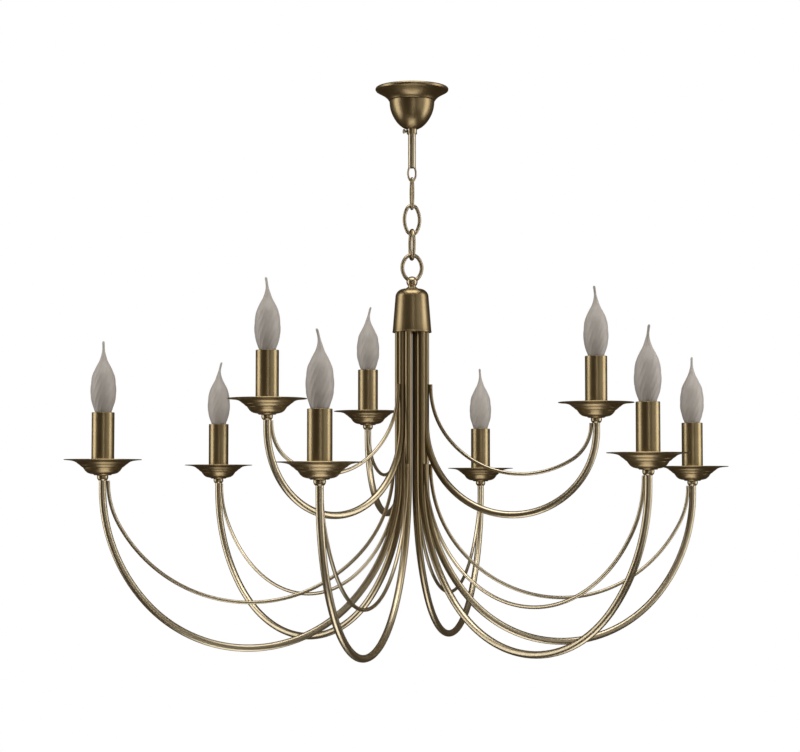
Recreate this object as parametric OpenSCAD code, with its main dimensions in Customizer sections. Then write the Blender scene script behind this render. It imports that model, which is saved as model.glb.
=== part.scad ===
// Nine-light candle chandelier on a short chain.
// Origin: centre of the ceiling face, +Z up, so everything hangs below z = 0.

/* [Ceiling canopy] */
// Diameter of the canopy rim on the ceiling
canopy_d = 105; // [86:1:130]
// Height of the rolled lip at the ceiling
canopy_lip = 5; // [3:0.5:8]
// Diameter of the step between flare and bowl
canopy_step_d = 64; // [54:1:78]
// Height of the flare, lip included
canopy_flare_h = 19; // [17:0.5:23]
// Height of the bowl below the step
canopy_bowl_h = 41; // [33:0.5:46]
// Sheet thickness of the canopy
canopy_wall = 1.2; // [0.8:0.1:2]
// Outside diameter of the grip collar under the canopy
grip_d = 14.6; // [13.6:0.2:18]
// Height of the grip collar
grip_h = 7; // [5:0.5:10]
// Diameter of the thumb screw's thread
screw_d = 3; // [2:0.5:4]
// Diameter of the thumb screw's head
screw_head_d = 6.4; // [5:0.2:9]
// How far the loosened canopy slides down the stem
canopy_travel = 38; // [25:1:44]

/* [Ceiling bracket] */
// Length of the strap across the ceiling
strap_l = 84; // [74:1:86]
// Width of the strap
strap_w = 18; // [14:1:22]
// Thickness of the strap
strap_t = 2; // [1.5:0.5:3]
// Drop of the strap's middle below the ceiling
strap_drop = 13; // [10:1:16]
// Distance between the two ceiling screws
screw_pitch = 70; // [64:1:72]
// Diameter of the ceiling screw holes
screw_hole_d = 5; // [4:0.5:6]
// How far the stem's head flange laps over the strap's hole
head_lap = 1; // [0.8:0.1:1.4]

/* [Stem and chain] */
// Outside diameter of the stem tube
stem_d = 11; // [9:0.5:12]
// Bore of the stem tube
stem_bore = 7; // [5:0.5:8]
// Bottom of the stem below the ceiling
stem_drop = 116; // [112:1:140]
// Outside width of the eye under the stem
eye_w = 14.6; // [12:0.2:18]
// Height of the eye under the stem
eye_h = 20.2; // [18:0.1:26]
// Wire of the eye under the stem
eye_wire = 3; // [2.6:0.1:3.4]
// Width, height and wire of the narrow chain link
link_a = [17.4, 47.6, 3.6]; // [2.6:0.1:54]
// Width, height and wire of the two wide chain links
link_b = [27.4, 46, 5]; // [3.5:0.1:54]
// Width, height and wire of the ring that carries the hub
ring = [34, 42, 5.4]; // [4:0.1:47]

/* [Hub] */
// Diameter of the ball eye on the hub
ball_d = 16; // [15:0.5:20]
// Diameter of the small foot under the ball eye
foot_d = 19; // [16:0.5:24]
// Height of the foot under the ball eye
foot_h = 3; // [2:0.5:5]
// Height of the hub cap
cap_h = 62.5; // [54:0.5:76]
// Diameter of the hub cap under its rounded shoulder
cap_top_d = 47.5; // [44:0.5:50]
// Diameter of the hub cap at its bottom edge
cap_d = 56; // [55:0.5:66]
// Radius of the hub cap's shoulder
cap_round = 12; // [8:0.5:16]
// Sheet thickness of the hub cap
cap_wall = 1.2; // [0.8:0.1:1.4]
// Diameter of the tie rod through the hub
tie_d = 8; // [6:0.5:10]
// Pitch circle of the nine tubes in the hub
bundle_d = 40; // [39.5:0.5:41]
// Thickness of the hub plate that the tubes are brazed into
plate_t = 5; // [4:0.5:8]

/* [Arms] */
// Outside diameter of an arm tube
tube_d = 10; // [8:0.5:10]
// Wall of an arm tube
tube_wall = 1; // [0.8:0.1:1.2]
// Diameter of the thin rod above each arm
rod_d = 5; // [4:0.5:6]
// Radius of the lower ring of six candles
low_r = 432; // [350:1:520]
// Straight length of a lower arm below the hub cap
low_straight = 210; // [175:1:252]
// Depth of a lower arm's bend, from its start to its lowest point
low_sweep = 233; // [194:1:280]
// Radius of the upper ring of three candles
top_r = 265; // [220:1:320]
// Straight length of an upper arm below the hub cap
top_straight = 131; // [109:1:157]
// Depth of an upper arm's bend, from its start to its lowest point
top_sweep = 128; // [106:1:154]
// Height of the lower drip pans' rims below the ceiling
low_rim = 542; // [505:1:565]
// Height of the upper drip pans' rims below the ceiling
top_rim = 455; // [435:1:475]
// Distance from a lower arm's bend up to where its rod leaves it
low_rod_lead = 18.5; // [15:0.5:23]
// Distance from an upper arm's bend up to where its rod leaves it
top_rod_lead = 52.5; // [43:0.5:64]
// Depth of a lower rod's bend
low_rod_sweep = 188.5; // [157:0.5:227]
// Depth of an upper rod's bend
top_rod_sweep = 123.5; // [103:0.5:148]

/* [Candles] */
// Diameter of a drip pan
pan_d = 106; // [88:1:127]
// Depth of a drip pan
pan_h = 22; // [18.5:0.5:26.5]
// Sheet thickness of a drip pan
pan_wall = 1; // [0.8:0.1:1.6]
// Diameter of the collar under a drip pan
collar_d = 15.6; // [13:0.2:18]
// Height of the collar under a drip pan
collar_h = 7; // [6:0.5:10]
// Outside diameter of the threaded nipple in each arm's end
nipple_d = 7.9; // [6:0.1:7.9]
// Outside diameter of a candle sleeve
sleeve_d = 31; // [27:0.5:36]
// Wall of a candle sleeve
sleeve_wall = 0.8; // [0.6:0.1:1.2]
// Height of a candle sleeve above its drip pan's rim
sleeve_show = 64; // [54:1:76]
// Largest diameter of a bulb
bulb_d = 34.6; // [32:0.2:38]
// Height of a bulb above its candle sleeve
bulb_show = 98; // [82:1:117]
// Wall of a bulb
bulb_wall = 1; // [0.6:0.1:1.5]
// Diameter of a bulb's screw cap
bulb_cap_d = 14; // [13:0.5:15]
// How far a bulb lifts to clear its lampholder
bulb_travel = 32; // [26:1:40]

/* [Clearances] */
// Gap between parts that move past each other
gap = 0.3; // [0.3:0.05:0.6]
// Radial gap between parts that are fitted and fixed
fit = 0.05; // [0.02:0.01:0.1]
// Gap between the loosened thumb screw's tip and the stem
screw_gap = 0.8; // [0.6:0.1:1.2]
// Gap between the ring and the hole in the ball eye
ring_gap = 0.9; // [0.8:0.1:1.2]

/* [Hidden] */
$fn = 48;
LOW_COUNT = 6;
TOP_COUNT = 3;
low_step = 360 / LOW_COUNT;
top_step = 360 / TOP_COUNT;
top_first = 90;

// Arms are set by hand: how far each candle stands above its row and outside it, and each arm's turn in degrees
low_lift = [0, 0, 4, 7, 0, 13];
low_out = [0, 0, 0, 5.5, 0, 0];
low_turn = [1, 0, 0, 0, 0, -1.3];
top_lift = [0, 0, 0];
top_out = [0, 7, 0];
top_turn = [0, 0, 0];

// A bend runs from straight down, through level, to straight up in three arcs.
// Each pair holds the angles that the first and the last arc turn through.
LOW_SHAPE = [42, 42];
TOP_SHAPE = [50, 50];
LOW_ROD_SHAPE = [43, 29];
TOP_ROD_SHAPE = [40, 59];
// Straight end of a tube and of a rod below the candle's collar
tube_tail = 10;
rod_tail = 2;
// Straight start of a rod, along the tube that it is brazed to
rod_head = 4;

bundle_r = bundle_d / 2;
tube_bore = tube_d - 2 * tube_wall;
rod_off = (tube_d + rod_d) / 2;

// Radius of the grip collar's spigot, which holds the collar in the canopy's bottom hole
spigot_r = stem_d / 2 + 1.3;

// Chain heights: each link's top wire rides on the bottom wire of the link above
eye_low = -stem_drop - eye_h + eye_wire / 2;
a_top = eye_low + eye_wire / 2 + link_a[2] / 2 + gap;
a_low = a_top - link_a[1] + link_a[2];
b_top = a_low + link_a[2] / 2 + link_b[2] / 2 + gap;
b_low = b_top - link_b[1] + link_b[2];
c_top = b_low + link_b[2] + gap;
c_low = c_top - link_b[1] + link_b[2];
ring_top = c_low + link_b[2] / 2 + ring[2] / 2 + gap;
ring_low = ring_top - ring[1] + ring[2];
ball_drop = 2;
eye_sunk = 4.2;

// Angle that each link's side arcs span above and below level
EYE_LEAN = 24;
A_LEAN = 16;
B_LEAN = 28;
RING_LEAN = 40;

// Hub heights
ball_z = ring_low - ball_drop;
foot_top = ball_z - ball_d / 2 + 1;
cap_top = foot_top - foot_h;
cap_low = cap_top - cap_h;
plate_low = cap_low + 6;
plate_top = plate_low + plate_t;
tube_top = plate_top + 5;
cap_slope = (cap_d - cap_top_d) / 2 / (cap_h - cap_round);
plate_d = cap_d - 2 * (cap_wall / cos(atan(cap_slope)) + cap_slope * (plate_top - cap_low) + fit);

// Bend heights
low_start = cap_low - low_straight;
top_start = cap_low - top_straight;
low_rod_start = low_start + low_rod_lead;
top_rod_start = top_start + top_rod_lead;

// Candle heights, from the rim of the drip pan
pan_floor = pan_wall - pan_h;
seat_up = 1.9;
full_depth = 21;
sleeve_seat = pan_z(seat_up) + pan_wall;
nut_h = 3;
nut_d = 13;
nipple_bore = 4.5;
nipple_in = 7;
tube_inset = 2;
holder_low = pan_floor + nut_h + fit;
holder_drop = 13;
holder_top = sleeve_show - holder_drop;
holder_floor = 34;
bulb_neck = 12;
cap_len = 25;
sleeve_in_d = sleeve_d - 2 * sleeve_wall;

// Wiring
wire_d = 3;
wire_top = tube_top + 6;
block_d = 46;
block_h = 12;

// The three arcs [radius, angle] of a bend that reaches out, drops by depth and climbs by rise
function bend(reach, depth, rise, shape) =
    let (
        a = shape[0],
        b = shape[1],
        ta = tan(a / 2),
        tb = tan(b / 2),
        width = cos(a) + cos(b) - (1 - sin(a)) * ta - (1 - sin(b)) * tb,
        mid = (reach - depth * ta - rise * tb) / width,
        first = (depth - mid * (1 - sin(a))) / sin(a),
        last = (rise - mid * (1 - sin(b))) / sin(b)
    )
    [[first, a], [mid, 180 - a - b], [last, b]];

// Climb from the lowest point of a bend to where its straight end begins
function climb(start, depth, rim, lift, tail) = lift - rim - pan_h - collar_h - tail - start + depth;

// Height of a point of the pan's underside, where up is measured on a pan of full depth
function pan_z(up) = up * (pan_h - pan_wall) / full_depth - pan_h;

// Heading, radius and height where arc number i of a chain begins
function bend_at(arcs, start, i) =
    i == 0 ? start
    : let (
        from = bend_at(arcs, start, i - 1),
        r = arcs[i - 1][0],
        to = from[0] + arcs[i - 1][1]
    )
    [to, from[1] + r * (cos(from[0]) - cos(to)), from[2] - r * (sin(to) - sin(from[0]))];

// Moves its children by v in a coarse and a fine step, so that pieces meet exactly
module place(v) {
    coarse = [for (c = v) round(c * 100) / 100];
    translate(coarse) translate(v - coarse) children();
}

module ring_profile(od, id) {
    difference() {
        circle(d = od);
        if (id > 0) circle(d = id);
    }
}

// A round tube or rod that runs down from z = top, sweeps outwards and rises to z = finish
module swept_tube(od, id, r0, top, start, arcs, finish) {
    last = bend_at(arcs, [0, r0, start], len(arcs));
    translate([r0, 0, start]) linear_extrude(top - start) ring_profile(od, id);
    for (i = [0 : len(arcs) - 1]) {
        at = bend_at(arcs, [0, r0, start], i);
        r = arcs[i][0];
        place([at[1] + r * cos(at[0]), 0, at[2] + r * sin(at[0])])
            rotate([90, 0, 0])
                rotate_extrude(angle = arcs[i][1], start = 180 + at[0], $fn = 96)
                    place([r, 0]) ring_profile(od, id);
    }
    place([last[1], 0, last[2]]) linear_extrude(finish - last[2]) ring_profile(od, id);
}

// Places its children at lower or upper arm number i, counted from 0
module at_low(i) { rotate([0, 0, i * low_step + low_turn[i]]) children(); }
module at_top(i) { rotate([0, 0, top_first + i * top_step + top_turn[i]]) children(); }
module at_low_candle(i) { at_low(i) translate([low_r + low_out[i], 0, low_lift[i] - low_rim]) children(); }
module at_top_candle(i) { at_top(i) translate([top_r + top_out[i], 0, top_lift[i] - top_rim]) children(); }
module at_each_candle() {
    for (i = [0 : LOW_COUNT - 1]) at_low_candle(i) children();
    for (i = [0 : TOP_COUNT - 1]) at_top_candle(i) children();
}

// Radius of an oval link's end arcs, where its side arcs span the angle lean to each side of level
function end_radius(size, lean) =
    let (a = (size[0] - size[2]) / 2, b = (size[1] - size[2]) / 2, k = 1 / tan(lean / 2))
    (a * k - b) / (k - 1);

// An upright oval chain link of four arcs, in the XZ plane, with its top wire centred at z = top
module oval_link(size, lean, top) {
    wire = size[2];
    a = (size[0] - wire) / 2;
    b = (size[1] - wire) / 2;
    small = end_radius(size, lean);
    big = (a - small * cos(lean)) / (1 - cos(lean));
    translate([0, 0, top - b]) rotate([90, 0, 0]) {
        for (side = [0, 180]) rotate([0, 0, side]) {
            place([0, b - small, 0])
                rotate_extrude(angle = 180 - 2 * lean, start = lean, $fn = 64)
                    place([small, 0]) circle(d = wire);
            place([a - big, 0, 0])
                rotate_extrude(angle = 2 * lean, start = -lean, $fn = 96)
                    place([big, 0]) circle(d = wire);
        }
    }
}

module ceiling_bracket() {
    leg_x = screw_pitch / 2 - screw_hole_d / 2 - 5;
    color("silver") difference() {
        union() {
            for (side = [-1, 1]) {
                translate([side * (leg_x + strap_l / 2) / 2, 0, -strap_t / 2])
                    cube([strap_l / 2 - leg_x, strap_w, strap_t], center = true);
                translate([side * (leg_x + strap_t / 2), 0, -(strap_drop + strap_t) / 2])
                    cube([strap_t, strap_w, strap_drop + strap_t], center = true);
            }
            translate([0, 0, -strap_drop - strap_t / 2])
                cube([2 * leg_x + strap_t, strap_w, strap_t], center = true);
        }
        for (side = [-1, 1])
            translate([side * screw_pitch / 2, 0, -strap_t - 1]) cylinder(d = screw_hole_d, h = strap_t + 2);
        translate([0, 0, -strap_drop - strap_t - 1]) cylinder(d = stem_d + 2 * fit, h = strap_t + 2);
    }
}

module stem_tube() {
    head_h = 3;
    stem_top = -strap_drop + head_h;
    plug_h = 5;
    color("#8c7650") {
        translate([0, 0, -stem_drop]) difference() {
            union() {
                cylinder(d = stem_d, h = stem_drop + stem_top);
                translate([0, 0, stem_drop - strap_drop + fit]) cylinder(d = stem_d + 2 * head_lap, h = head_h - fit);
            }
            translate([0, 0, plug_h]) cylinder(d = stem_bore, h = stem_drop);
        }
        oval_link([eye_w, eye_h + eye_sunk, eye_wire], EYE_LEAN, eye_sunk - stem_drop - eye_wire / 2);
    }
}

module canopy() {
    rim = canopy_d / 2;
    step = canopy_step_d / 2;
    w = canopy_wall;
    flare = canopy_flare_h - canopy_lip;
    span = rim - step - 1;
    hole = spigot_r + fit;
    bowl = [for (t = [0 : 7.5 : 90]) [hole + (step - hole - 1) * cos(t), -canopy_flare_h - canopy_bowl_h * sin(t)]];
    horn = [for (t = [0 : 10 : 90]) [rim - span * sin(t), -canopy_flare_h + flare * pow(cos(t), 1.4)]];
    bowl_in = [for (t = [90 : -7.5 : 0])
        [hole + (step - hole - 1 - w) * cos(t), -canopy_flare_h - (canopy_bowl_h - w) * sin(t)]];
    horn_in = [for (t = [90 : -10 : 0]) [rim - w - span * sin(t), -canopy_flare_h + w + flare * pow(cos(t), 1.4)]];
    color("#7d6843") rotate_extrude($fn = 96)
        polygon(concat([[rim - 1.5, 0], [rim - 0.4, -0.6], [rim, -1.6]], horn, bowl, bowl_in, horn_in, [[rim - w - 1, 0]]));
}

module grip_collar() {
    low = -canopy_flare_h - canopy_bowl_h;
    color("#8c7650") difference() {
        union() {
            translate([0, 0, low - grip_h]) cylinder(d = grip_d, h = grip_h - fit);
            translate([0, 0, low - grip_h]) cylinder(r = spigot_r, h = grip_h + canopy_wall + 1.5);
        }
        translate([0, 0, low - grip_h - 1]) cylinder(d = stem_d + 2 * fit, h = grip_h + canopy_wall + 4);
        translate([-stem_d / 2, 0, low - grip_h / 2]) rotate([0, -90, 0])
            translate([0, 0, -2]) cylinder(d = screw_d + 2 * fit, h = grip_d);
    }
}

module thumb_screw() {
    low = -canopy_flare_h - canopy_bowl_h;
    head_h = 3.2;
    neck = 2.6;
    tip = stem_d / 2 + screw_gap;
    reach = grip_d / 2 + neck;
    color("#6f5c3c") translate([0, 0, low - grip_h / 2]) rotate([0, -90, 0]) difference() {
        union() {
            translate([0, 0, tip]) cylinder(d = screw_d, h = reach - tip + 0.5);
            translate([0, 0, reach]) cylinder(d = screw_head_d, h = head_h);
        }
        translate([0, 0, reach + head_h]) cube([screw_head_d + 1, 1.1, 2], center = true);
    }
}

module chain_link_1() { color("#8c7650") rotate([0, 0, 90]) oval_link(link_a, A_LEAN, a_top); }
module chain_link_2() { color("#8c7650") oval_link(link_b, B_LEAN, b_top); }
module chain_link_3() { color("#8c7650") rotate([0, 0, 90]) oval_link(link_b, B_LEAN, c_top); }
module chain_ring() { color("#8c7650") oval_link(ring, RING_LEAN, ring_top); }

module hub_eye() {
    small = end_radius(ring, RING_LEAN);
    neck_d = tie_d + 3;
    color("#8c7650") difference() {
        union() {
            translate([0, 0, ball_z]) sphere(d = ball_d);
            translate([0, 0, foot_top - 0.01]) cylinder(d = neck_d, h = ball_z - foot_top);
            translate([0, 0, cap_top]) cylinder(d1 = foot_d, d2 = neck_d + 1, h = foot_h);
            translate([0, 0, plate_low - 1]) cylinder(d = tie_d, h = cap_top - plate_low + 2);
        }
        translate([0, 0, ring_low + small]) rotate([90, 0, 0])
            rotate_extrude(angle = 140, start = 200, $fn = 64)
                translate([small, 0]) circle(d = ring[2] + 2 * ring_gap);
    }
}

module hub_cap() {
    w = cap_wall;
    r = cap_round;
    top = cap_top_d / 2;
    hole = tie_d / 2 + fit;
    out = [for (t = [0 : 10 : 90]) [top - r + r * sin(t), cap_top - r + r * cos(t)]];
    in = [for (t = [90 : -10 : 0]) [top - r + (r - w) * sin(t), cap_top - r + (r - w) * cos(t)]];
    color("#7d6843") rotate_extrude($fn = 96)
        polygon(concat([[hole, cap_top]], out, [[cap_d / 2 - 0.4, cap_low + 2.4], [cap_d / 2, cap_low + 2],
            [cap_d / 2, cap_low], [cap_d / 2 - w, cap_low]], in, [[hole, cap_top - w]]));
}

module hub_plate() {
    color("#8c7650") difference() {
        translate([0, 0, plate_low]) cylinder(d = plate_d, h = plate_t);
        translate([0, 0, plate_low - 1]) cylinder(d = tie_d + 2 * fit, h = plate_t + 2);
        for (i = [0 : LOW_COUNT - 1])
            at_low(i) translate([bundle_r, 0, plate_low - 1]) cylinder(d = tube_d + 2 * fit, h = plate_t + 2);
        for (i = [0 : TOP_COUNT - 1])
            at_top(i) translate([bundle_r, 0, plate_low - 1]) cylinder(d = tube_d + 2 * fit, h = plate_t + 2);
    }
}

// An arm's course, as the tube itself or as the lead inside it
module low_line(i, od, id, top, finish) {
    rise = climb(low_start, low_sweep, low_rim, low_lift[i], tube_tail);
    at_low(i) swept_tube(od, id, bundle_r, top, low_start,
        bend(low_r + low_out[i] - bundle_r, low_sweep, rise, LOW_SHAPE), low_lift[i] - low_rim - pan_h + finish);
}

module top_line(i, od, id, top, finish) {
    rise = climb(top_start, top_sweep, top_rim, top_lift[i], tube_tail);
    at_top(i) swept_tube(od, id, bundle_r, top, top_start,
        bend(top_r + top_out[i] - bundle_r, top_sweep, rise, TOP_SHAPE), top_lift[i] - top_rim - pan_h + finish);
}

module lower_arm(i) { color("#8c7650") low_line(i, tube_d, tube_bore, tube_top, -tube_inset - 2 * fit); }
module upper_arm(i) { color("#8c7650") top_line(i, tube_d, tube_bore, tube_top, -tube_inset - 2 * fit); }

module lower_rod(i) {
    rise = climb(low_rod_start, low_rod_sweep, low_rim, low_lift[i], rod_tail);
    color("#86704a") at_low(i) swept_tube(rod_d, 0, bundle_r + rod_off, low_rod_start + rod_head, low_rod_start,
        bend(low_r + low_out[i] - bundle_r - 2 * rod_off, low_rod_sweep, rise, LOW_ROD_SHAPE),
        low_lift[i] - low_rim - pan_h - collar_h - 2 * fit);
}

module upper_rod(i) {
    rise = climb(top_rod_start, top_rod_sweep, top_rim, top_lift[i], rod_tail);
    color("#86704a") at_top(i) swept_tube(rod_d, 0, bundle_r + rod_off, top_rod_start + rod_head, top_rod_start,
        bend(top_r + top_out[i] - bundle_r - 2 * rod_off, top_rod_sweep, rise, TOP_ROD_SHAPE),
        top_lift[i] - top_rim - pan_h - collar_h - 2 * fit);
}

// Origin of every candle piece: centre of the drip pan's rim, at its top face
module pan() {
    r = pan_d / 2;
    h = pan_h;
    w = pan_wall;
    seat = sleeve_d / 2 + 0.5;
    course = [[10.4, 0], [12.2, 0.9], [seat, seat_up], [20.2, 2.8], [23.4, 4.8], [25.3, 7.4], [26, 9.1],
        [28.2, 11], [28.8, 12.8], [32, 14.5], [34.6, 16.6], [37, 18.8], [41, 19.9], [r, full_depth]];
    under = concat([[collar_d / 2, -h]], [for (p = course) [p[0], pan_z(p[1])]]);
    over = [for (i = [len(under) - 1 : -1 : 0]) under[i] + [0, w]];
    color("#8a744e") rotate_extrude($fn = 96)
        polygon(concat([[nipple_d / 2 + fit, -h]], under, over, [[nipple_d / 2 + fit, w - h]]));
}

module sleeve() {
    color("#967f58") translate([0, 0, sleeve_seat + fit])
        difference() {
            cylinder(d = sleeve_d, h = sleeve_show - sleeve_seat - fit, $fn = 96);
            translate([0, 0, -1]) cylinder(d = sleeve_in_d, h = sleeve_show - sleeve_seat + 2, $fn = 96);
        }
}

// Radius of the bulb's glass at a height above the candle sleeve's top
function bulb_at(h) =
    let (waist = bulb_show * 0.286, tip = 1.75, full = bulb_d / 2, neck = bulb_cap_d / 2)
    h < waist ? neck + (full - neck) * pow(sin(90 * (h + bulb_neck) / (waist + bulb_neck)), 1.2)
    : h < bulb_show * 0.87 ? tip + (full - tip) * pow(cos(90 * (h - waist) / (bulb_show * 0.87 - waist)), 1.2)
    : tip;

module bulb() {
    low = -bulb_neck;
    glass = [for (t = [0 : 0.04 : 0.96]) [bulb_at(low + t * (bulb_show + bulb_neck)), low + t * (bulb_show + bulb_neck)]];
    inner = [for (t = [0.84 : -0.04 : 0])
        [bulb_at(low + t * (bulb_show + bulb_neck)) - bulb_wall, low + t * (bulb_show + bulb_neck)]];
    cap_r = bulb_cap_d / 2;
    hole = 1.5;
    color("#a39c92") translate([0, 0, sleeve_show]) rotate_extrude($fn = 48)
        polygon(concat([[hole, low - cap_len], [cap_r - 2.5, low - cap_len], [cap_r - 0.5, low - cap_len + 4],
            [cap_r - 0.5, low - 1], [cap_r, low]], glass, [[1.2, bulb_show - 0.6], [0, bulb_show]],
            [[0, 0.85 * bulb_show]], inner, [[cap_r - 1.6, low - cap_len + 5], [hole, low - cap_len + 3]]));
}

module lampholder() {
    foot_h = 4;
    body_d = 22;
    difference() {
        union() {
            translate([0, 0, holder_low]) cylinder(d = sleeve_in_d - 2 * fit, h = foot_h);
            translate([0, 0, holder_low]) cylinder(d = body_d, h = holder_top - holder_low);
        }
        translate([0, 0, holder_top - holder_floor]) cylinder(d = bulb_cap_d + 2 * gap, h = holder_floor + 1);
        translate([0, 0, holder_low - 1]) cylinder(d = nipple_d + 2 * fit, h = 9);
        translate([0, 0, holder_low + 5]) cylinder(d = wire_d + 1, h = holder_top - holder_low);
    }
}

module fixing_set() {
    collar_top = -pan_h - fit;
    difference() {
        translate([0, 0, collar_top - collar_h]) cylinder(d = collar_d, h = collar_h);
        translate([0, 0, collar_top - collar_h - 1]) cylinder(d = tube_d + 2 * fit, h = collar_h - 1);
        translate([0, 0, collar_top - collar_h - 1]) cylinder(d = nipple_d + 2 * fit, h = collar_h + 2);
    }
    translate([0, 0, -pan_h - tube_inset - nipple_in]) difference() {
        cylinder(d = nipple_d, h = nipple_in + tube_inset + pan_wall + nut_h + 6);
        translate([0, 0, -1]) cylinder(d = nipple_bore, h = 40);
    }
    translate([0, 0, pan_floor]) difference() {
        cylinder(d = nut_d, h = nut_h, $fn = 6);
        translate([0, 0, -1]) cylinder(d = nipple_d + 2 * fit, h = nut_h + 2);
    }
}

module candle_fixings() { color("#86704a") at_each_candle() fixing_set(); }
module lampholders() { color("ivory") at_each_candle() lampholder(); }

module wiring() {
    lead_end = 16;
    color("ivory") {
        translate([0, 0, wire_top]) difference() {
            cylinder(d = block_d, h = block_h);
            translate([0, 0, -1]) cylinder(d = tie_d + 2, h = block_h + 2);
        }
        for (i = [0 : LOW_COUNT - 1]) low_line(i, wire_d, 0, wire_top, lead_end);
        for (i = [0 : TOP_COUNT - 1]) top_line(i, wire_d, 0, wire_top, lead_end);
    }
}

ceiling_bracket();
stem_tube();
canopy();
grip_collar();
thumb_screw();
chain_link_1();
chain_link_2();
chain_link_3();
chain_ring();
hub_eye();
hub_cap();
hub_plate();
wiring();
candle_fixings();
lampholders();
for (i = [0 : LOW_COUNT - 1]) {
    lower_arm(i);
    lower_rod(i);
    at_low_candle(i) pan();
    at_low_candle(i) sleeve();
    at_low_candle(i) bulb();
}
for (i = [0 : TOP_COUNT - 1]) {
    upper_arm(i);
    upper_rod(i);
    at_top_candle(i) pan();
    at_top_candle(i) sleeve();
    at_top_candle(i) bulb();
}
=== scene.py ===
import math

import bpy
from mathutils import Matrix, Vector


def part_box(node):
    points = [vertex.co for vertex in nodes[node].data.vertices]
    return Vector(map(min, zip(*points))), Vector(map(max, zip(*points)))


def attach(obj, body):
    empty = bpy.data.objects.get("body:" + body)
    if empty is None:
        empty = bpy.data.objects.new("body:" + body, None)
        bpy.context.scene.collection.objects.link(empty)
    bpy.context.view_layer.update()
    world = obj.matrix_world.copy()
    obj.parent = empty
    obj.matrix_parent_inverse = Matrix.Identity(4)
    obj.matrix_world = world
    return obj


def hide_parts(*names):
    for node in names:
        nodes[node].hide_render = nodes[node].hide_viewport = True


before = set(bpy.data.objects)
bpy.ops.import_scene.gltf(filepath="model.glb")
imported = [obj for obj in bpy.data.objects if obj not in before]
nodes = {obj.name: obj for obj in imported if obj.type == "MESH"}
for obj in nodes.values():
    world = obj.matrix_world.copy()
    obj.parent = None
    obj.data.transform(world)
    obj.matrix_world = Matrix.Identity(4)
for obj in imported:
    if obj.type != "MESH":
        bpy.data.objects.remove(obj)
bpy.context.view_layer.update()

mm = 0.001


# Lengths in the camera and the studio are metres, everywhere else mm.
shot = {
    "distance": 2.8065,    # from the stem's axis
    "azimuth": -14.99,     # degrees, 0 looks along +Y
    "height": -0.5717,     # eye level below the ceiling
    "pitch": 3.198,        # degrees up
    "yaw": 0.35,           # degrees to the left, so that the stem stands right of the middle
    "lens": 88.7,          # mm
    "clipEnd": 60,
}


def addCamera(s):
    turn = math.radians(s["azimuth"])
    data = bpy.data.cameras.new("camera")
    data.lens = s["lens"]
    data.clip_end = s["clipEnd"]
    camera = bpy.data.objects.new("camera", data)
    camera.location = (s["distance"] * math.sin(turn), -s["distance"] * math.cos(turn), s["height"])
    camera.rotation_euler = (math.radians(90 + s["pitch"]), 0, turn + math.radians(s["yaw"]))
    bpy.context.scene.collection.objects.link(camera)
    bpy.context.scene.camera = camera


addCamera(shot)
bpy.context.scene.view_settings.view_transform = "Standard"
print("camera set")


def linear(hexText):
    # an sRGB hex colour as linear light
    parts = [int(hexText[i:i + 2], 16) / 255 for i in (1, 3, 5)]
    return [c / 12.92 if c <= 0.04045 else ((c + 0.055) / 1.055) ** 2.4 for c in parts] + [1]


def addNode(tree, kind, settings=None, links=None):
    # a setting is a property of the node or the value of one of its sockets
    made = tree.nodes.new(kind)
    for key, value in (settings or {}).items():
        if isinstance(key, str) and hasattr(made, key):
            setattr(made, key, value)
        else:
            made.inputs[key].default_value = value
    for key, source in (links or {}).items():
        tree.links.new(source, made.inputs[key])
    return made


def pick(*objects):
    # only these are selected, and the last one is active
    if bpy.context.object and bpy.context.object.mode != "OBJECT":
        bpy.ops.object.mode_set(mode="OBJECT")
    bpy.ops.object.select_all(action="DESELECT")
    for obj in objects:
        obj.select_set(True)
        bpy.context.view_layer.objects.active = obj


bumpDepth = 0.05 * mm


def newMaterial(name):
    material = bpy.data.materials.new(name)
    material.use_nodes = True
    tree = material.node_tree
    tree.nodes.clear()
    return material, tree


def closeMaterial(tree, settings, links):
    shader = addNode(tree, "ShaderNodeBsdfPrincipled", settings, links)
    addNode(tree, "ShaderNodeOutputMaterial", links={"Surface": shader.outputs[0]})


def mixTones(tree, dark, light, share):
    return addNode(tree, "ShaderNodeMix", {"data_type": "RGBA", 6: linear(dark), 7: linear(light)},
                   {0: share})


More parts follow.
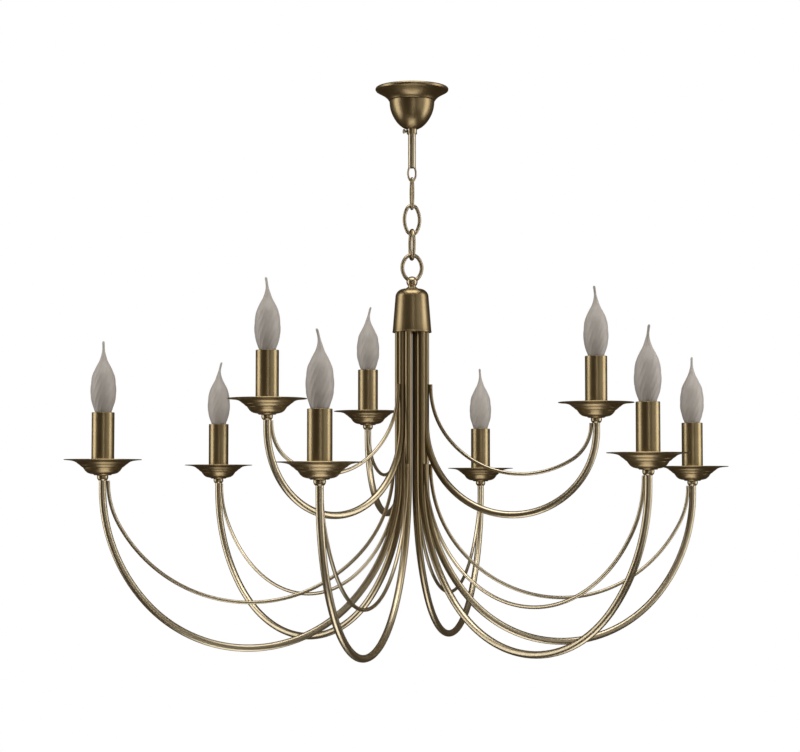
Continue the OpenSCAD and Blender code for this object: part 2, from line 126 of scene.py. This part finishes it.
# Brass, toned brown and lacquered satin. The polished high spots stay pale; the hollows darken to brown
# patina, which also stands in for their shade (painted shade).
def agedBrass(name, look):
    material, tree = newMaterial(name)
    place = addNode(tree, "ShaderNodeTexCoord").outputs["Object"]
    cloud = addNode(tree, "ShaderNodeTexNoise",
                    {"Scale": 1 / (look["cloudMm"] * mm), "Detail": 3, "Roughness": 0.55}, {"Vector": place})
    tone = mixTones(tree, look["dark"], look["light"], cloud.outputs["Fac"])
    toned = tone
    # painted shade: the tube turns darker brown close to the stem's axis, where the arms crowd together
    if "bundleShade" in look:
        flat = addNode(tree, "ShaderNodeVectorMath", {"operation": "MULTIPLY", 1: (1, 1, 0)}, {0: place})
        reach = addNode(tree, "ShaderNodeVectorMath", {"operation": "LENGTH"}, {0: flat.outputs[0]})
        inside, outside = look["bundleShade"]
        outOfShade = addNode(tree, "ShaderNodeMapRange", {"From Min": inside * mm, "From Max": outside * mm},
                         {"Value": reach.outputs["Value"]})
        toned = addNode(tree, "ShaderNodeMix", {"data_type": "RGBA", 6: linear(look["patinaAndShade"])},
                        {0: outOfShade.outputs[0], 7: tone.outputs[2]})
    if look["lines"] == "turned":
        # the hollows darken to the patina colour: the brass's own patina there, and painted shade as well
        deep, level = look["hollows"]
        hollow = addNode(tree, "ShaderNodeMapRange", {"From Min": deep, "From Max": level},
                         {"Value": addNode(tree, "ShaderNodeNewGeometry").outputs["Pointiness"]})
        toned = addNode(tree, "ShaderNodeMix", {"data_type": "RGBA", 6: linear(look["patinaAndShade"])},
                        {0: hollow.outputs[0], 7: tone.outputs[2]})
        along = addNode(tree, "ShaderNodeAttribute", {"attribute_name": "along"}).outputs["Fac"]
        strokes = addNode(tree, "ShaderNodeTexNoise",
                          {"noise_dimensions": "1D", "Scale": 1 / (look["lineMm"] * mm), "Detail": 2},
                          {"W": along})
    else:
        stretched = addNode(tree, "ShaderNodeMapping", {"Scale": look["stretch"]}, {"Vector": place})
        strokes = addNode(tree, "ShaderNodeTexNoise", {"Scale": 1 / (look["lineMm"] * mm), "Detail": 2},
                          {"Vector": stretched.outputs[0]})
    satin = addNode(tree, "ShaderNodeMapRange", {"To Min": look["rough"][0], "To Max": look["rough"][1]},
                    {"Value": strokes.outputs["Fac"]})
    bump = addNode(tree, "ShaderNodeBump", {"Strength": look["bump"], "Distance": bumpDepth},
                   {"Height": strokes.outputs["Fac"]})
    closeMaterial(tree, {"Metallic": 1}, {"Base Color": toned.outputs[2], "Roughness": satin.outputs[0],
                                         "Normal": bump.outputs[0]})
    return material


# Spun sheet keeps most of its brown tone. Real tool marks are about 0.2 mm apart, too fine to show.
spunLook = {
    "light": "#b39f7b", "dark": "#96825c", "cloudMm": 30,
    "patinaAndShade": "#4a3822",
    "hollows": (0.42, 0.5),    # pointiness that is all patina and painted shade, and none
    "lines": "turned", "lineMm": 2.6,
    "bump": 0.04, "rough": (0.32, 0.37),
}
# Drawn tube is rubbed back further, so it looks paler. Its die lines are also drawn coarser than real ones.
tubeLook = {
    "light": "#d6c9ad", "dark": "#bfb090", "cloudMm": 30,
    "lines": "drawn", "lineMm": 6, "stretch": (1, 1, 0.15),
    "bump": 0, "rough": (0.32, 0.35),
}
# Between the arms, close to the stem, the tube is painted browner: painted shade where the arms crowd
# together.
armLook = {**tubeLook, "patinaAndShade": "#9e8c6a", "bundleShade": (28, 90)}    # painted shade in full to here, gone from there
sleeveLook = {**tubeLook, "light": "#b7a580", "dark": "#9c8860"}
# Castings and wire are a little blotchy and as pale as the tube where they are rubbed.
castLook = {
    "light": "#cfc0a2", "dark": "#a08d6a", "cloudMm": 9,
    "lines": "cast", "lineMm": 4, "stretch": (1, 1, 1),
    "bump": 0.05, "rough": (0.26, 0.38),
}
spunBrass = agedBrass("agedBrassSpun", spunLook)
tubeBrass = agedBrass("agedBrassDrawnTube", tubeLook)
armBrass = agedBrass("agedBrassDrawnArm", armLook)
sleeveBrass = agedBrass("agedBrassDrawnSleeve", sleeveLook)
castBrass = agedBrass("agedBrassCast", castLook)


# Soda-lime glass, acid frosted and fluted: it scatters the light softly and hides the filament.
frostLook = {
    "light": "#b3aca4", "dark": "#a29b93", "hazeMm": 14,
    "grainMm": 0.9,        # real frosting is finer, and would not show
    "rough": (0.38, 0.55), "bump": 0.15, "through": 0.12, "ior": 1.5,
}


def frostedGlass(name, look):
    material, tree = newMaterial(name)
    place = addNode(tree, "ShaderNodeTexCoord").outputs["Object"]
    grain = addNode(tree, "ShaderNodeTexNoise", {"Scale": 1 / (look["grainMm"] * mm), "Detail": 3},
                    {"Vector": place})
    haze = addNode(tree, "ShaderNodeTexNoise", {"Scale": 1 / (look["hazeMm"] * mm), "Detail": 2},
                   {"Vector": place})
    tone = mixTones(tree, look["dark"], look["light"], haze.outputs["Fac"])
    satin = addNode(tree, "ShaderNodeMapRange", {"To Min": look["rough"][0], "To Max": look["rough"][1]},
                    {"Value": grain.outputs["Fac"]})
    bump = addNode(tree, "ShaderNodeBump", {"Strength": look["bump"], "Distance": bumpDepth},
                   {"Height": grain.outputs["Fac"]})
    closeMaterial(tree, {"IOR": look["ior"], "Transmission Weight": look["through"]},
                  {"Base Color": tone.outputs[2], "Roughness": satin.outputs[0], "Normal": bump.outputs[0]})
    return material


glass = frostedGlass("frostedGlass", frostLook)


# Plated metals. Zinc is pale grey with the faint mottle of its bath, nickel is smoother and warmer.
def platedMetal(name, dark, light, grainMm, rough):
    material, tree = newMaterial(name)
    place = addNode(tree, "ShaderNodeTexCoord").outputs["Object"]
    mottle = addNode(tree, "ShaderNodeTexVoronoi", {"Scale": 1 / (grainMm * mm)}, {"Vector": place})
    tone = mixTones(tree, dark, light, mottle.outputs["Color"])
    satin = addNode(tree, "ShaderNodeMapRange", {"To Min": rough[0], "To Max": rough[1]},
                    {"Value": mottle.outputs["Distance"]})
    closeMaterial(tree, {"Metallic": 1}, {"Base Color": tone.outputs[2], "Roughness": satin.outputs[0]})
    return material


# Moulded phenolic and extruded PVC: dull, slightly uneven plastics.
def plainPlastic(name, dark, light, grainMm, rough, bumpStrength=0.15):
    material, tree = newMaterial(name)
    place = addNode(tree, "ShaderNodeTexCoord").outputs["Object"]
    grain = addNode(tree, "ShaderNodeTexNoise", {"Scale": 1 / (grainMm * mm), "Detail": 4},
                    {"Vector": place})
    tone = mixTones(tree, dark, light, grain.outputs["Fac"])
    bump = addNode(tree, "ShaderNodeBump", {"Strength": bumpStrength, "Distance": 2 * bumpDepth},
                   {"Height": grain.outputs["Fac"]})
    closeMaterial(tree, {"Roughness": rough}, {"Base Color": tone.outputs[2], "Normal": bump.outputs[0]})
    return material


bracketZinc = platedMetal("zincPlatedSteel", "#9ea2a6", "#c3c6c8", grainMm=2.5, rough=(0.3, 0.45))
capNickel = platedMetal("nickelPlatedBrass", "#b9b4aa", "#cfcac0", grainMm=4, rough=(0.22, 0.37))
phenolic = plainPlastic("mouldedPhenolic", "#d2cbb8", "#e2dccb", grainMm=1.5, rough=0.45)
leadPvc = plainPlastic("extrudedPvc", "#c9c2ad", "#d8d2bf", grainMm=3, rough=0.5)

# by a part of the node's name; any other node is cast brass
finishes = {
    "canopy": spunBrass, "hub_cap": spunBrass, "_pan_": spunBrass, "_arm_": armBrass, "_rod_": armBrass,
    "_sleeve_": sleeveBrass, "stem_tube": tubeBrass, "_bulb_": glass, "ceiling_bracket": bracketZinc,
    "lampholders": phenolic, "wiring": leadPvc,
}
for nodeName, obj in nodes.items():
    finish = next((m for key, m in finishes.items() if key in nodeName), castBrass)
    obj.data.materials.clear()
    obj.data.materials.append(finish)
print("materials made")


poleRadius = 0.01    # of the tiny ring that ends a piece on its axis
weldGap = 0.012      # points closer than this are merged


def flow(points, spans=4):
    # a smooth line through the points, with that many spans between two of them
    line = []
    for i in range(len(points) - 1):
        p0, p1, p2, p3 = (points[min(max(i + k, 0), len(points) - 1)] for k in (-1, 0, 1, 2))
        for step in range(spans):
            t = step / spans
            line.append(tuple(0.5 * (2 * b + (c - a) * t + (2 * a - 5 * b + 4 * c - d) * t ** 2
                                     + (3 * b - a - 3 * c + d) * t ** 3)
                              for a, b, c, d in zip(p0, p1, p2, p3)))
    return line + [points[-1]]


def walled(line, wall, bulge=0.45):
    # the line, its rounded edge, and back along the other face of the sheet, which lies to its left
    inner = []
    for i in range(len(line)):
        (r0, z0), (r1, z1) = line[max(i - 1, 0)], line[min(i + 1, len(line) - 1)]
        span = math.hypot(r1 - r0, z1 - z0)
        inner.append((line[i][0] - (z1 - z0) / span * wall, line[i][1] + (r1 - r0) / span * wall))
    out = Vector(line[-1]) - Vector(line[-2])
    edge = (Vector(line[-1]) + Vector(inner[-1])) / 2 + out.normalized() * wall * bulge
    return line + [tuple(edge)] + inner[::-1] + line[:1]


def turned(name, outline, around=96, sharp=35):
    # a lathe piece from its outline in mm, [(radius, height), ...] about the origin, ring by ring
    pick()
    radius, height = outline[0]
    bpy.ops.mesh.primitive_circle_add(vertices=around, radius=radius * mm, location=(0, 0, height * mm))
    piece = bpy.context.object
    piece.name = name
    bpy.ops.object.mode_set(mode="EDIT")
    bpy.ops.mesh.select_all(action="SELECT")
    for (fromR, fromZ), (toR, toZ) in zip(outline, outline[1:]):
        bpy.ops.mesh.extrude_region_move(TRANSFORM_OT_translate={"value": (0, 0, (toZ - fromZ) * mm)})
        bpy.ops.transform.resize(value=(toR / fromR, toR / fromR, 1), center_override=(0, 0, toZ * mm))
    bpy.ops.object.mode_set(mode="OBJECT")
    bpy.ops.object.transform_apply(location=True)
    reach = [0]
    for (fromR, fromZ), (toR, toZ) in zip(outline, outline[1:]):
        reach.append(reach[-1] + math.hypot(toR - fromR, toZ - fromZ) * mm)
    along = piece.data.attributes.new("along", "FLOAT", "POINT")
    along.data.foreach_set("value", [reach[i // around] for i in range(len(piece.data.vertices))])
    return closeUp(piece, sharp)


def closeUp(piece, sharp):
    # merged, faced outwards and shaded smooth up to the sharp angle
    pick(piece)
    bpy.ops.object.mode_set(mode="EDIT")
    bpy.ops.mesh.select_all(action="SELECT")
    bpy.ops.mesh.remove_doubles(threshold=weldGap * mm)
    bpy.ops.mesh.normals_make_consistent(inside=False)
    bpy.ops.object.mode_set(mode="OBJECT")
    bpy.ops.object.shade_smooth_by_angle(angle=math.radians(sharp))
    return piece


def copyAt(master, name, place, turn=0):
    made = master.copy()
    made.data = master.data.copy()
    made.name = name
    made.location = place
    made.rotation_euler.z = turn
    bpy.context.scene.collection.objects.link(made)
    pick(made)
    bpy.ops.object.transform_apply(location=True, rotation=True)
    return made


def joined(name, *pieces):
    pick(*pieces)
    bpy.ops.object.join()
    made = bpy.context.object
    made.name = name
    return made


def settle(piece, body, material, slot, *stoodFor):
    # gives the piece its finish and its body, in place of the frame's own nodes
    piece.data.materials.clear()
    piece.data.materials.append(material)
    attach(piece, body)
    if stoodFor:
        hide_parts(*stoodFor)


def drop(*pieces):
    for piece in pieces:
        bpy.data.objects.remove(piece)


candles = [("lower", i + 1) for i in range(6)] + [("upper", i + 1) for i in range(3)]
tipTurns = {"lower": (64, -124, 3, 91, 152, -78), "upper": (-15, 114, -144)}    # degrees, of each bent tip


def candlePlace(row, number):
    # the middle of the sleeve's top edge
    low, high = (Vector(c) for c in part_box(f"{row}_sleeve_{number}"))
    return Vector(((low.x + high.x) / 2, (low.y + high.y) / 2, high.z))


sleeveSize = {"outer": 15.5, "wall": 0.8, "softEdge": 0.3}
# outlines are (radius, height) points, on a pan from its rim's height, from the middle outwards
pan = {
    "show": 64,            # from the sleeve's top down to the pan's rim
    "wall": 1.0,
    "hole": 4.0,
    "depth": 22,
    "foot": [(9.6, -22), (11.2, -21.9), (12.2, -21.2), (12.6, -20.6)],
    "bowl": [(12.6, -20.6), (16, -20.1), (19.8, -18.9), (23, -16.6), (25, -14), (26.4, -12.1)],
    "bead": [(26.4, -12.1), (26.8, -11.4), (28.6, -10.4), (30.2, -8.9), (31.2, -8.2)],
    "dish": [(31.2, -8.2), (31.6, -7.6), (33.6, -6.4), (36, -4.4), (38.8, -3), (43, -2), (48, -1.4),
             (52.6, -1.05)],
}
collar = {
    "gap": 0.05,           # between the pan and the collar
    "bore": 5.05,
    "outline": [(7.4, 0), (7.7, -0.9), (7.7, -2.9), (7.1, -4.9), (6.1, -6.3), (5.6, -6.9)],
    "nut": {"radius": 6.5, "bevelled": 0.93, "bore": 4.05, "low": 1, "height": 3, "bevel": 0.5, "sides": 6},
    "nipple": {"radius": 3.95, "bore": 2.25, "low": -9, "high": 10},
}


def makeSleeve(s, low):
    r, w, e = s["outer"], s["wall"], s["softEdge"]
    outer = [(r - e, 0), (r, -e), (r, low + e), (r - e, low)]
    inner = [(r - w, low), (r - w, -e / 2), (r - w + e / 2, 0), (r - e, 0)]
    return turned("sleeveMaster", outer + inner)


def makePan(p):
    under = [(p["hole"], -p["depth"])] + flow(p["foot"], 3)
    under += flow(p["bowl"])[1:] + flow(p["bead"], 3)[1:] + flow(p["dish"])[1:]
    return turned("panMaster", walled(under, p["wall"]))


def makeCollar(c):
    outline = flow(c["outline"], 3)
    low = c["outline"][-1][1]
    cup = turned("cup", [(c["bore"], low)] + outline[::-1] + [(c["bore"], 0), (c["bore"], low)], 48)
    n = c["nut"]
    r, bore, base, top, e = n["radius"], n["bore"], n["low"], n["low"] + n["height"], n["bevel"]
    flat = r * n["bevelled"]
    nut = turned("nut", [(bore, base), (flat, base), (r, base + e), (r, top - e), (flat, top), (bore, top),
                         (bore, base)], n["sides"])
    n = c["nipple"]
    r, bore, base, top = n["radius"], n["bore"], n["low"], n["high"]
    nipple = turned("nipple", [(bore, base), (r, base), (r, top), (bore, top), (bore, base)], 24)
    return joined("collarMaster", cup, nut, nipple)


bulb = {
    "flutes": 16,
    "fluteDepth": 0.018,   # share of the radius
    "twist": 1.4,          # degrees for each mm of height
    "outline": [(7, -12), (10.9, 0), (14.2, 9.5), (16.7, 20), (17.2, 31), (16.5, 41), (14.6, 52),
                (9.8, 62.6), (5.8, 70.5), (3.2, 78.5), (1.9, 85), (1.65, 92), (1.75, 95.6), (1.2, 97.4),
                (0.5, 98), (0.02, 98.1)],
    "thinnest": 0.02,      # the smooth line never gets closer to the axis
    "bendFrom": 76,
    "bendReach": 4.2,
    "bendCurve": 1.5,
}
screwCap = {
    "radius": 6.8, "top": -12,
    "lap": 0.4,            # of the skirt over the glass
    "skirt": 2,
    "pitch": 2.8, "turns": 6, "root": 0.4, "ridge": 0.35,
    "ridgeShape": ((0.2, 0.75), (0.5, 1), (0.8, 0.75), (1, 0)),
    "contact": [(5.2, -1.4), (4.2, -3.4), (2.4, -3.8), (2.2, -4.6), (1.2, -5)],    # below the thread
    "contactLow": -5.05,
}


def makeBulb(b):
    # a fluted ring, extruded up the flame with a little twist at every step, then bent over at its tip
    line = [(max(r, b["thinnest"]), z) for r, z in flow(b["outline"])]
    around = b["flutes"] * 4
    pick()
    radius, height = line[0]
    bpy.ops.mesh.primitive_circle_add(vertices=around, radius=radius * mm, location=(0, 0, height * mm),
                                      fill_type="NGON")
    flame = bpy.context.object
    flame.name = "bulbMaster"
    for i, vertex in enumerate(flame.data.vertices):
        swell = 1 + b["fluteDepth"] * math.cos(math.tau * i / 4)
        vertex.co.x *= swell
        vertex.co.y *= swell
    bpy.ops.object.mode_set(mode="EDIT")
    bpy.ops.mesh.select_all(action="SELECT")
    for (fromR, fromZ), (toR, toZ) in zip(line, line[1:]):
        at = (0, 0, toZ * mm)
        bpy.ops.mesh.extrude_region_move(TRANSFORM_OT_translate={"value": (0, 0, (toZ - fromZ) * mm)})
        bpy.ops.transform.resize(value=(toR / fromR, toR / fromR, 1), center_override=at)
        bpy.ops.transform.rotate(value=math.radians(-b["twist"] * (toZ - fromZ)), orient_axis="Z",
                                 center_override=at)
    bpy.ops.object.mode_set(mode="OBJECT")
    bpy.ops.object.transform_apply(location=True)
    top = b["outline"][-1][1]
    for vertex in flame.data.vertices:
        over = max(vertex.co.z / mm - b["bendFrom"], 0) / (top - b["bendFrom"])
        vertex.co.x += b["bendReach"] * mm * over ** b["bendCurve"]
    return closeUp(flame, 60)


def makeScrewCap(s):
    # skirt, rounded thread ridges, insulator and contact
    r, top, threadTop = s["radius"], s["top"] + s["lap"], s["top"] - s["skirt"]
    line = [(poleRadius, top), (r, top), (r, threadTop)]
    for i in range(s["turns"]):
        for share, out in s["ridgeShape"]:
            line.append((r - s["root"] + s["ridge"] * out, threadTop - (i + share) * s["pitch"]))
    low = line[-1][1]
    line += [(radius, low + below) for radius, below in s["contact"] + [(poleRadius, s["contactLow"])]]
    return turned("capMaster", line, 48)


sleeveLow = (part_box("lower_sleeve_1")[0][2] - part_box("lower_sleeve_1")[1][2]) / mm
masters = {
    "sleeve": makeSleeve(sleeveSize, sleeveLow), "pan": makePan(pan), "collar": makeCollar(collar),
    "bulb": makeBulb(bulb), "cap": makeScrewCap(screwCap),
}
for row, number in candles:
    place = candlePlace(row, number)
    rim = place - Vector((0, 0, pan["show"] * mm))
    tag = f"{row}_{number}"
    underPan = rim - Vector((0, 0, (pan["depth"] + collar["gap"]) * mm))
    bulbBody = f"{row}_bulb_{number}_body"
    turn = math.radians(tipTurns[row][number - 1])
    settle(copyAt(masters["sleeve"], f"candleSleeve_{tag}", place), "hub",
           sleeveBrass, "tube_brass", f"{row}_sleeve_{number}")
    settle(copyAt(masters["pan"], f"dripPan_{tag}", rim), "hub",
           spunBrass, "spun_brass", f"{row}_pan_{number}")
    settle(copyAt(masters["collar"], f"panCollar_{tag}", underPan), "hub",
           castBrass, "cast_brass", "candle_fixings")
    settle(copyAt(masters["bulb"], f"bulbGlass_{tag}", place, turn), bulbBody,
           glass, "frosted_glass", f"{row}_bulb_{number}")
    settle(copyAt(masters["cap"], f"bulbCap_{tag}", place), bulbBody,
           capNickel, "zinc_steel")
drop(*masters.values())
print("candles made:", len(candles))


canopy = {
    "wall": 1.2,
    "around": 128,
    "hole": 6.85,
    "depth": 60,
    "bowl": [(9.5, -59.5), (14, -57), (18.8, -53), (23.6, -47.2), (28.2, -39), (31.2, -30), (32.4, -20)],
    "groove": [(32.4, -20), (32.2, -19.2), (32.9, -18.9), (33.6, -18.2)],
    "flare": [(33.6, -18.2), (35.4, -15.6), (38.4, -12.8), (42, -10.2), (45.8, -8), (49.2, -6.2),
              (51.5, -4.8)],
    "lip": [(51.5, -4.8), (52.3, -3.4), (52.45, -1.8), (51.8, -0.6), (50.9, 0)],
}
hubCap = {
    "wall": 1.2,
    "around": 128,
    "hole": 4.05,
    "top": 23.75,          # radii of the straight side, top and bottom
    "low": 28,
    "shoulder": 12,
    "shoulderSteps": 9,
    "height": 62.5,
    "lip": 2.2,
    "edge": 0.3,           # of the lip, rounded over this height
    "edgeIn": 0.25,
    "lipStep": 0.35,
}


def makeCanopy(c):
    line = [(c["hole"], -c["depth"])] + flow(c["bowl"]) + flow(c["groove"], 2)[1:]
    line += flow(c["flare"])[1:] + flow(c["lip"], 3)[1:]
    return turned("ceilingCanopy", walled(line, c["wall"]), c["around"])


def makeHubCap(h, topZ):
    r, low, steps = h["shoulder"], topZ - h["height"], h["shoulderSteps"]
    line = [(h["low"] - h["edgeIn"], low), (h["low"], low + h["edge"]),
            (h["low"], low + h["lip"] - h["edge"]), (h["low"] - h["lipStep"], low + h["lip"])]
    arc = [(h["top"] - r + r * math.cos(math.radians(90 * i / steps)),
            topZ - r + r * math.sin(math.radians(90 * i / steps))) for i in range(steps + 1)]
    line += flow([line[-1], arc[0]], 8)[1:] + arc[1:] + [(h["hole"], topZ)]
    return turned("hubCapShell", walled(line, h["wall"]), h["around"])


settle(makeCanopy(canopy), "canopy_shell", spunBrass, "spun_brass", "canopy")
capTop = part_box("hub_cap")[1][2] / mm
settle(makeHubCap(hubCap, capTop), "hub", spunBrass, "spun_brass", "hub_cap")


# radius, or radius and length, of each step from the tip outwards
thumb = {"thread": 1.5, "flange": (2.3, 1.0), "waist": (1.5, 1.6), "head": (3.2, 2.2)}


def makeThumbScrew(t, low, high):
    # turned about Z first, tip at the bottom, then laid along -X; the small numbers are its bevels
    span = (high.x - low.x) / mm
    r, (fr, fh), (wr, wh), (hr, hh) = t["thread"], t["flange"], t["waist"], t["head"]
    start = span - hh - wh - fh
    head = span - hh
    line = [(poleRadius, 0), (r - 0.3, 0), (r, 0.4), (r, start), (fr - 0.2, start), (fr, start + 0.2),
            (fr, start + fh), (wr, start + fh + 0.2), (wr, head), (hr - 0.3, head), (hr, head + 0.3),
            (hr, span - 0.3), (hr - 0.4, span), (poleRadius, span)]
    screw = turned("thumbScrew", line, 40)
    screw.rotation_euler.y = math.radians(-90)
    screw.location = (high.x, 0, (low.z + high.z) / 2)
    pick(screw)
    bpy.ops.object.transform_apply(location=True, rotation=True)
    return screw


screwLow, screwHigh = (Vector(c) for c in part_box("thumb_screw"))
settle(makeThumbScrew(thumb, screwLow, screwHigh), "screw", castBrass, "cast_brass", "thumb_screw")
print("canopy, hub cap and screw made")


studio = {
    "floorDrop": 3.3,      # of the floor below the ceiling
    "floorRadius": 9,
    "floorColour": "#f4f3f0",
    "backdrop": "#ffffff",
    "room": "#433a2c",     # what the brass sees between the lights
    "around": -15,         # degrees, the lights stand round the camera's direction
    "aim": -0.5,           # height that the lights point at
}
# bearing in degrees to the right of the camera, distance from the stem, height, size, watts
panels = {
    "leftStrip": (-86, 2.6, -0.3, (1.3, 3.2), 28),
    "rightStrip": (86, 2.6, -0.3, (1.3, 3.2), 31),
    "rightPanel": (46, 3.0, -0.3, (1.5, 3.0), 6),
    "frontStrip": (8, 3.6, -1.0, (0.3, 4.4), 9),
    "lowPanel": (0, 0.3, -3.2, (1.6, 2.2), 22),
    "topPanel": (0, 0.8, 2.2, (3, 2), 62),
}
# these light the bulbs and don't show in the brass
fills = {
    "frontFill": (5, 3.4, 0.4, (1.6, 1.6), 16),
    "leftFill": (-70, 3.2, 0.6, (1.6, 1.6), 30),
    "rightFill": (70, 3.2, 0.6, (1.6, 1.6), 38),
}


def addFloor(s):
    pick()
    bpy.ops.mesh.primitive_circle_add(vertices=128, radius=s["floorRadius"], fill_type="NGON",
                                      location=(0, 0, -s["floorDrop"]))
    floor = bpy.context.object
    floor.name = "studioFloor"
    material, tree = newMaterial("paintedFloor")
    closeMaterial(tree, {"Base Color": linear(s["floorColour"]), "Roughness": 0.9}, {})
    floor.data.materials.append(material)
    floor.visible_glossy = False


def addLight(name, bearing, distance, height, size, power, shows):
    data = bpy.data.lights.new(name, "AREA")
    data.shape = "RECTANGLE"
    data.size, data.size_y = size
    data.energy = power
    light = bpy.data.objects.new(name, data)
    turn = math.radians(studio["around"] + bearing)
    light.location = (distance * math.sin(turn), -distance * math.cos(turn), height)
    ahead = Vector((0, 0, studio["aim"])) - light.location
    light.rotation_euler = ahead.to_track_quat("-Z", "Y").to_euler()
    light.visible_camera = False
    light.visible_glossy = shows
    bpy.context.scene.collection.objects.link(light)


def addWorld(seen, around):
    # the camera sees a plain backdrop, everything else a dim warm room
    world = bpy.data.worlds.new("studioWorld")
    bpy.context.scene.world = world
    world.use_nodes = True
    tree = world.node_tree
    tree.nodes.clear()
    backdrop = addNode(tree, "ShaderNodeBackground", {"Color": linear(seen), "Strength": 1})
    room = addNode(tree, "ShaderNodeBackground", {"Color": linear(around), "Strength": 1})
    eye = addNode(tree, "ShaderNodeLightPath").outputs["Is Camera Ray"]
    both = addNode(tree, "ShaderNodeMixShader",
                   links={0: eye, 1: room.outputs[0], 2: backdrop.outputs[0]})
    addNode(tree, "ShaderNodeOutputWorld", links={"Surface": both.outputs[0]})


addFloor(studio)
addWorld(studio["backdrop"], studio["room"])
for name, place in panels.items():
    addLight(name, *place, shows=True)
for name, place in fills.items():
    addLight(name, *place, shows=False)
print("studio lit")
